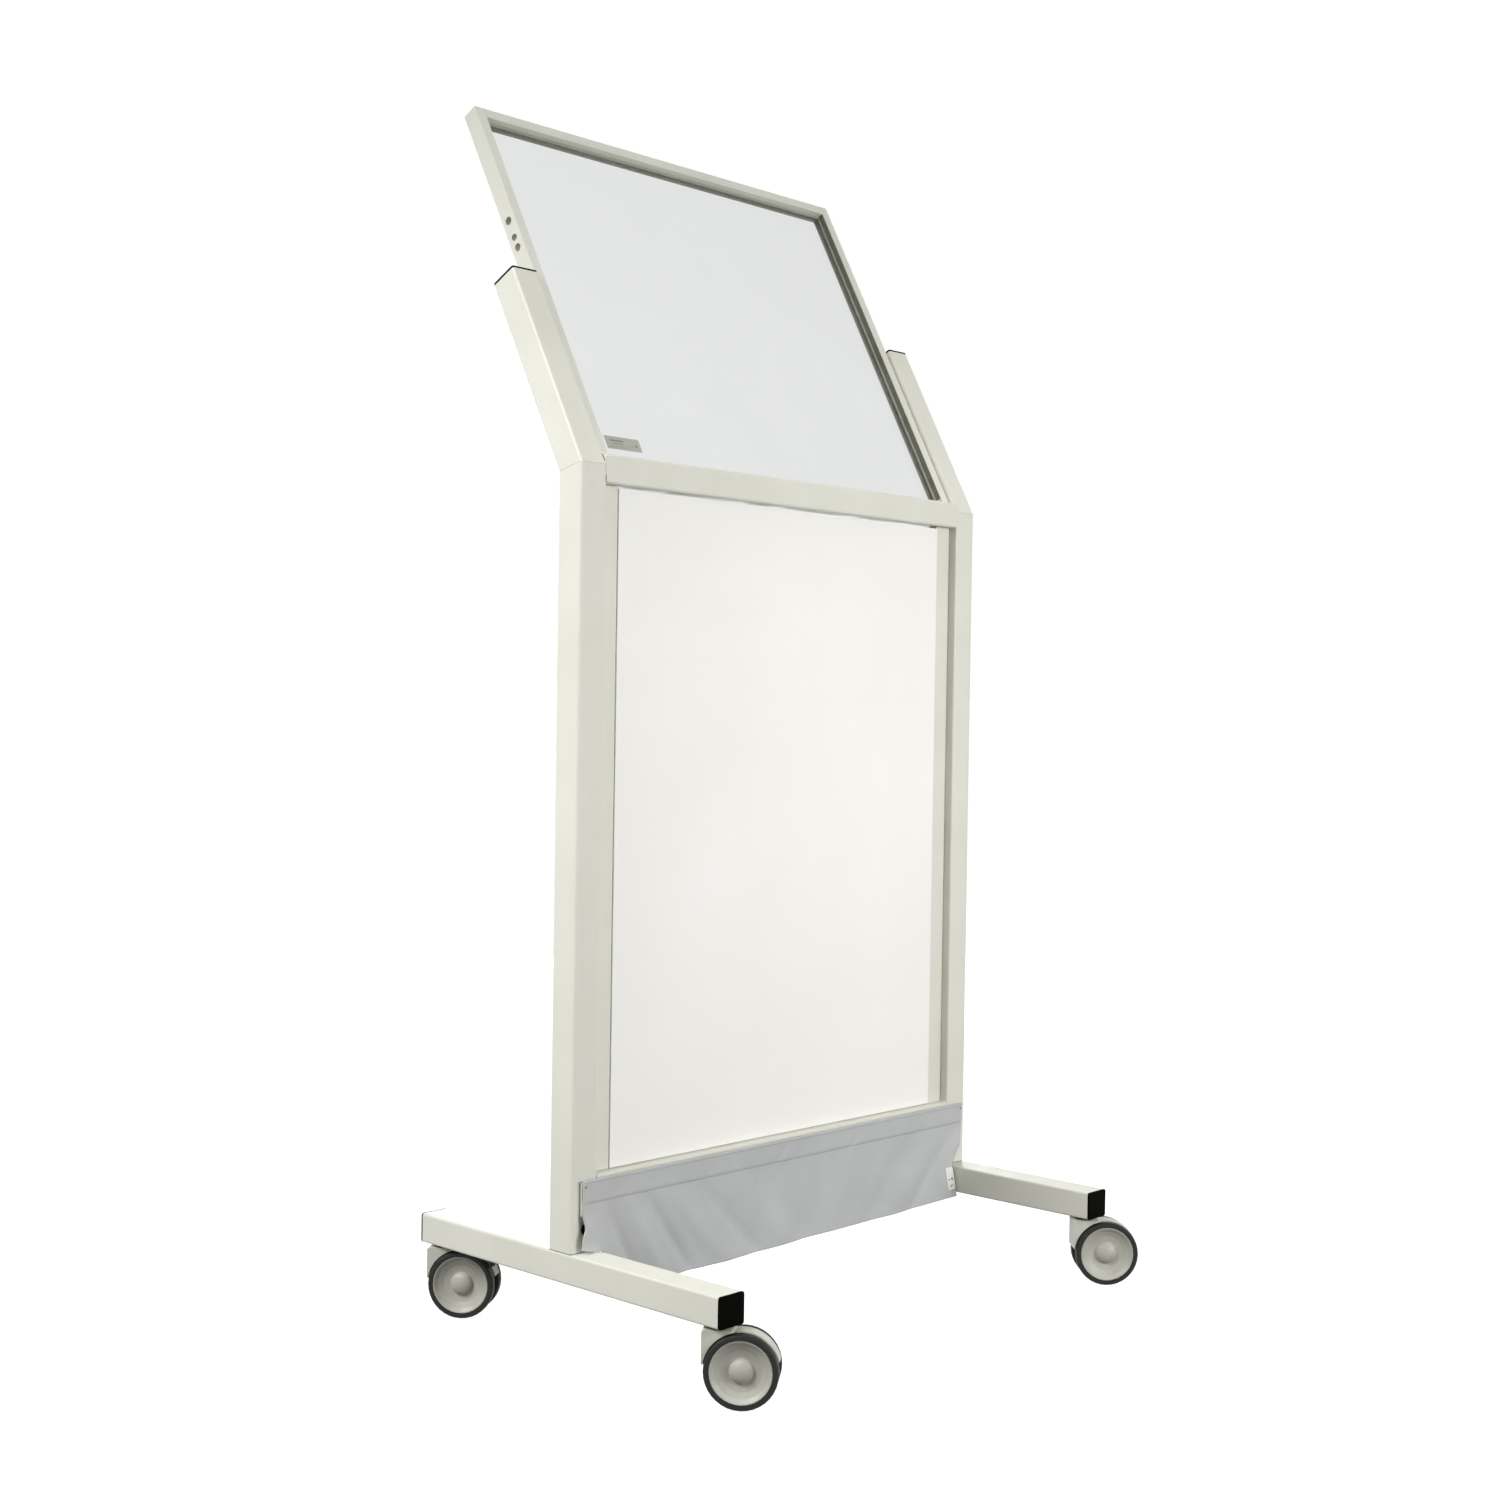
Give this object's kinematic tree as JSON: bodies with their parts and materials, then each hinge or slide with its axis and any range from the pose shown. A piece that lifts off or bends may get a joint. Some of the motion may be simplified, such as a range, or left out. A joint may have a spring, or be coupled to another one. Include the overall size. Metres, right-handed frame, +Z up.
{
  "type": "mobile x-ray protective screen",
  "caption": "Mobile radiation protective screen on braked twin-wheel castors, with a leaned-back leaded window, a flat lower panel and a hanging lead-rubber skirt.",
  "frame": {"origin": "on the floor, under the middle of the overall box; the middle of the two posts is at (-0.02365, 0.0269)", "axes": "+X to the right seen from the front of the screen, +Y to the rear (the way the window leans), +Z up"},
  "size_m": [0.9742, 0.6958, 1.8447],
  "materials": {
    "enamel": "satin off-white powder coat",
    "black_plastic": "moulded black cap",
    "castor_plastic": "satin grey nylon",
    "tyre": "matt black soft tread",
    "pedal_plastic": "satin dark grey nylon",
    "bearing_steel": "dark oiled steel",
    "pane": "clear leaded sheet, polished",
    "bead": "grey glazing strip",
    "panel_skin": "smooth white enamel",
    "panel_board": "white faced board",
    "lead": "dull rolled sheet",
    "skirt_rubber": "matt grey lead rubber",
    "skirt_tag": "off-white printed tag, left blank",
    "plate": "silver grey plate, left blank"
  },
  "bodies": {
    "frame": {"left_foot": "enamel", "left_foot_cap_front": "black_plastic", "left_foot_cap_rear": "black_plastic", "left_post_lower": "enamel", "left_post_upper": "enamel", "left_post_cap": "black_plastic", "right_foot": "enamel", "right_foot_cap_front": "black_plastic", "right_foot_cap_rear": "black_plastic", "right_post_lower": "enamel", "right_post_upper": "enamel", "right_post_cap": "black_plastic", "crossbar": "enamel", "bottom_rail": "enamel", "window_stile_left": "enamel", "window_stile_right": "enamel", "window_head": "enamel", "window_pane": "pane", "glazing_bead_front": "bead", "glazing_bead_rear": "bead", "window_label": "plate", "panel_stile_left": "enamel", "panel_stile_right": "enamel", "panel_front_skin": "panel_skin", "panel_lead_sheet": "lead", "panel_rear_board": "panel_board", "skirt_bar": "enamel", "lead_rubber_skirt": "skirt_rubber", "skirt_label": "skirt_tag", "post_plug_left": "black_plastic", "post_plug_right": "black_plastic", "castor_lf_bearing": "bearing_steel", "castor_lr_bearing": "bearing_steel", "castor_rf_bearing": "bearing_steel", "castor_rr_bearing": "bearing_steel"},
    "castor_lf": {"castor_lf_housing": "castor_plastic"},
    "wheel_lf_outer": {"castor_lf_rim_outer": "castor_plastic", "castor_lf_tyre_outer": "tyre"},
    "wheel_lf_inner": {"castor_lf_rim_inner": "castor_plastic", "castor_lf_tyre_inner": "tyre"},
    "castor_lr": {"castor_lr_housing": "castor_plastic"},
    "wheel_lr_outer": {"castor_lr_rim_outer": "castor_plastic", "castor_lr_tyre_outer": "tyre"},
    "wheel_lr_inner": {"castor_lr_rim_inner": "castor_plastic", "castor_lr_tyre_inner": "tyre"},
    "pedal_lr": {"castor_lr_pedal": "pedal_plastic"},
    "castor_rf": {"castor_rf_housing": "castor_plastic"},
    "wheel_rf_outer": {"castor_rf_rim_outer": "castor_plastic", "castor_rf_tyre_outer": "tyre"},
    "wheel_rf_inner": {"castor_rf_rim_inner": "castor_plastic", "castor_rf_tyre_inner": "tyre"},
    "castor_rr": {"castor_rr_housing": "castor_plastic"},
    "wheel_rr_outer": {"castor_rr_rim_outer": "castor_plastic", "castor_rr_tyre_outer": "tyre"},
    "wheel_rr_inner": {"castor_rr_rim_inner": "castor_plastic", "castor_rr_tyre_inner": "tyre"},
    "pedal_rr": {"castor_rr_pedal": "pedal_plastic"}
  },
  "joints": [
    {"name": "castor_lf_swivel", "type": "hinge", "parent": "frame", "child": "castor_lf", "pos_m": [-0.45665, -0.2651, 0.1043], "axis": [0, 0, 1], "continuous": true},
    {"name": "wheel_lf_outer_spin", "type": "hinge", "parent": "castor_lf", "child": "wheel_lf_outer", "pos_m": [-0.43619, -0.29225, 0.051], "axis": [-0.7986, -0.6018, 0], "continuous": true},
    {"name": "wheel_lf_inner_spin", "type": "hinge", "parent": "castor_lf", "child": "wheel_lf_inner", "pos_m": [-0.43619, -0.29225, 0.051], "axis": [-0.7986, -0.6018, 0], "continuous": true},
    {"name": "castor_lr_swivel", "type": "hinge", "parent": "frame", "child": "castor_lr", "pos_m": [-0.45665, 0.3189, 0.1043], "axis": [0, 0, 1], "continuous": true},
    {"name": "wheel_lr_outer_spin", "type": "hinge", "parent": "castor_lr", "child": "wheel_lr_outer", "pos_m": [-0.43715, 0.29105, 0.051], "axis": [-0.8192, -0.5736, 0], "continuous": true},
    {"name": "wheel_lr_inner_spin", "type": "hinge", "parent": "castor_lr", "child": "wheel_lr_inner", "pos_m": [-0.43715, 0.29105, 0.051], "axis": [-0.8192, -0.5736, 0], "continuous": true},
    {"name": "pedal_lr_lift", "type": "hinge", "parent": "castor_lr", "child": "pedal_lr", "pos_m": [-0.41593, 0.26074, 0.091], "axis": [-0.8192, -0.5736, 0], "range_deg": [0, 12]},
    {"name": "castor_rf_swivel", "type": "hinge", "parent": "frame", "child": "castor_rf", "pos_m": [0.40935, -0.2651, 0.1043], "axis": [0, 0, 1], "continuous": true},
    {"name": "wheel_rf_outer_spin", "type": "hinge", "parent": "castor_rf", "child": "wheel_rf_outer", "pos_m": [0.43339, -0.28914, 0.051], "axis": [-0.7071, -0.7071, 0], "continuous": true},
    {"name": "wheel_rf_inner_spin", "type": "hinge", "parent": "castor_rf", "child": "wheel_rf_inner", "pos_m": [0.43339, -0.28914, 0.051], "axis": [-0.7071, -0.7071, 0], "continuous": true},
    {"name": "castor_rr_swivel", "type": "hinge", "parent": "frame", "child": "castor_rr", "pos_m": [0.40935, 0.3189, 0.1043], "axis": [0, 0, 1], "continuous": true},
    {"name": "wheel_rr_outer_spin", "type": "hinge", "parent": "castor_rr", "child": "wheel_rr_outer", "pos_m": [0.43121, 0.29285, 0.051], "axis": [-0.766, -0.6428, 0], "continuous": true},
    {"name": "wheel_rr_inner_spin", "type": "hinge", "parent": "castor_rr", "child": "wheel_rr_inner", "pos_m": [0.43121, 0.29285, 0.051], "axis": [-0.766, -0.6428, 0], "continuous": true},
    {"name": "pedal_rr_lift", "type": "hinge", "parent": "castor_rr", "child": "pedal_rr", "pos_m": [0.45499, 0.26451, 0.091], "axis": [-0.766, -0.6428, 0], "range_deg": [0, 12]}
  ]
}
